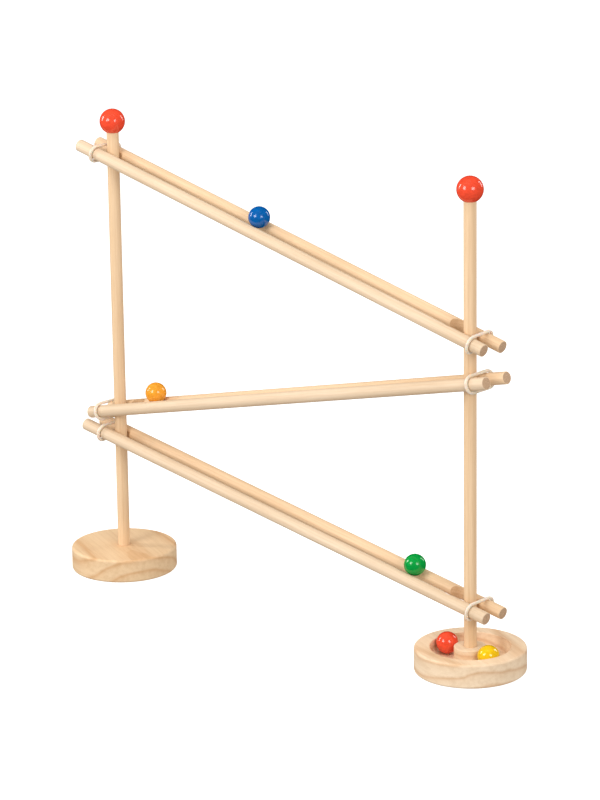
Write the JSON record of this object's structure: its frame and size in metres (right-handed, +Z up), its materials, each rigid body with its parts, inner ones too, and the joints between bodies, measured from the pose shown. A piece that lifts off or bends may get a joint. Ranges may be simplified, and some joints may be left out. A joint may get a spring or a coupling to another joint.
{
  "type": "marble run",
  "caption": "Wooden marble run: sloping tracks of paired dowels held on two posts by elastic rings, with lacquered balls and a grooved catch tray.",
  "frame": {"origin": "on the floor, midway between the two posts", "axes": "+X from the plain stand to the tray stand, +Y away from the viewer across the tracks, +Z up along the posts"},
  "size_m": [0.564, 0.106, 0.4735],
  "materials": {
    "foot_pine": "turned and sanded pine, clear matt oil",
    "post_dowel": "smooth hardwood dowel, clear matt oil",
    "rail_dowel": "smooth hardwood dowel, clear matt oil",
    "elastic": "off-white translucent elastic, satin",
    "red_lacquer": "high-gloss lacquer on a wooden ball",
    "blue_lacquer": "high-gloss lacquer on a wooden ball",
    "orange_lacquer": "high-gloss lacquer on a wooden ball",
    "green_lacquer": "high-gloss lacquer on a wooden ball",
    "yellow_lacquer": "high-gloss lacquer on a wooden ball"
  },
  "bodies": {
    "left_stand": {"left_base": "foot_pine", "left_post": "post_dowel", "left_knob": "red_lacquer"},
    "right_stand": {"tray_base": "foot_pine", "right_post": "post_dowel", "right_knob": "red_lacquer"},
    "top_clamp": {"top_left_ring": "elastic"},
    "top_track": {"top_front_rail": "rail_dowel", "top_back_rail": "rail_dowel"},
    "top_release": {"top_right_ring": "elastic"},
    "blue_marble": {"blue_ball": "blue_lacquer"},
    "middle_clamp": {"middle_left_ring": "elastic"},
    "middle_track": {"middle_front_rail": "rail_dowel", "middle_back_rail": "rail_dowel"},
    "middle_release": {"middle_right_ring": "elastic"},
    "orange_marble": {"orange_ball": "orange_lacquer"},
    "bottom_clamp": {"bottom_left_ring": "elastic"},
    "bottom_track": {"bottom_front_rail": "rail_dowel", "bottom_back_rail": "rail_dowel"},
    "bottom_release": {"bottom_right_ring": "elastic"},
    "green_marble": {"green_ball": "green_lacquer"},
    "red_marble": {"red_ball": "red_lacquer"},
    "yellow_marble": {"yellow_ball": "yellow_lacquer"}
  },
  "joints": [
    {"name": "right_stand_spin", "type": "hinge", "parent": "left_stand", "child": "right_stand", "pos_m": [0.229, 0, 0], "axis": [0, 0, 1], "continuous": true},
    {"name": "top_height", "type": "slide", "parent": "left_stand", "child": "top_clamp", "axis": [0, 0, 1], "range_m": [-0.004, 0.01]},
    {"name": "top_tilt", "type": "hinge", "parent": "top_clamp", "child": "top_track", "pos_m": [-0.24051, 0, 0.4286], "axis": [0, -1, 0], "range_deg": [-0.4, 7]},
    {"name": "top_ring_slide", "type": "slide", "parent": "top_track", "child": "top_release", "axis": [0.9754, 0, -0.2204], "range_m": [0, 0.012]},
    {"name": "blue_roll", "type": "slide", "parent": "top_track", "child": "blue_marble", "axis": [0.9754, 0, -0.2204], "range_m": [-0.1774, 0.2404]},
    {"name": "middle_height", "type": "slide", "parent": "left_stand", "child": "middle_clamp", "axis": [0, 0, 1], "range_m": [-0.001, 0.004]},
    {"name": "middle_tilt", "type": "hinge", "parent": "middle_clamp", "child": "middle_track", "pos_m": [-0.24328, 0, 0.16401], "axis": [0, -1, 0], "range_deg": [-1.4, 0.35]},
    {"name": "middle_ring_slide", "type": "slide", "parent": "middle_track", "child": "middle_release", "axis": [0.9713, 0, 0.2377], "range_m": [0, 0.012]},
    {"name": "orange_roll", "type": "slide", "parent": "middle_track", "child": "orange_marble", "axis": [-0.9713, 0, -0.2377], "range_m": [-0.3974, 0.0242]},
    {"name": "bottom_height", "type": "slide", "parent": "left_stand", "child": "bottom_clamp", "axis": [0, 0, 1], "range_m": [-0.008, 0.001]},
    {"name": "bottom_tilt", "type": "hinge", "parent": "bottom_clamp", "child": "bottom_track", "pos_m": [-0.24212, 0, 0.14186], "axis": [0, -1, 0], "range_deg": [-1.2, 5]},
    {"name": "bottom_ring_slide", "type": "slide", "parent": "bottom_track", "child": "bottom_release", "axis": [0.9868, 0, -0.1622], "range_m": [0, 0.012]},
    {"name": "green_roll", "type": "slide", "parent": "bottom_track", "child": "green_marble", "axis": [0.9868, 0, -0.1622], "range_m": [-0.378, 0.041]},
    {"name": "red_roll", "type": "hinge", "parent": "right_stand", "child": "red_marble", "pos_m": [0.229, 0, 0.0208], "axis": [0, 0, 1], "range_deg": [-75, 55]},
    {"name": "yellow_roll", "type": "hinge", "parent": "right_stand", "child": "yellow_marble", "pos_m": [0.229, 0, 0.0208], "axis": [0, 0, 1], "range_deg": [-55, 75]}
  ]
}
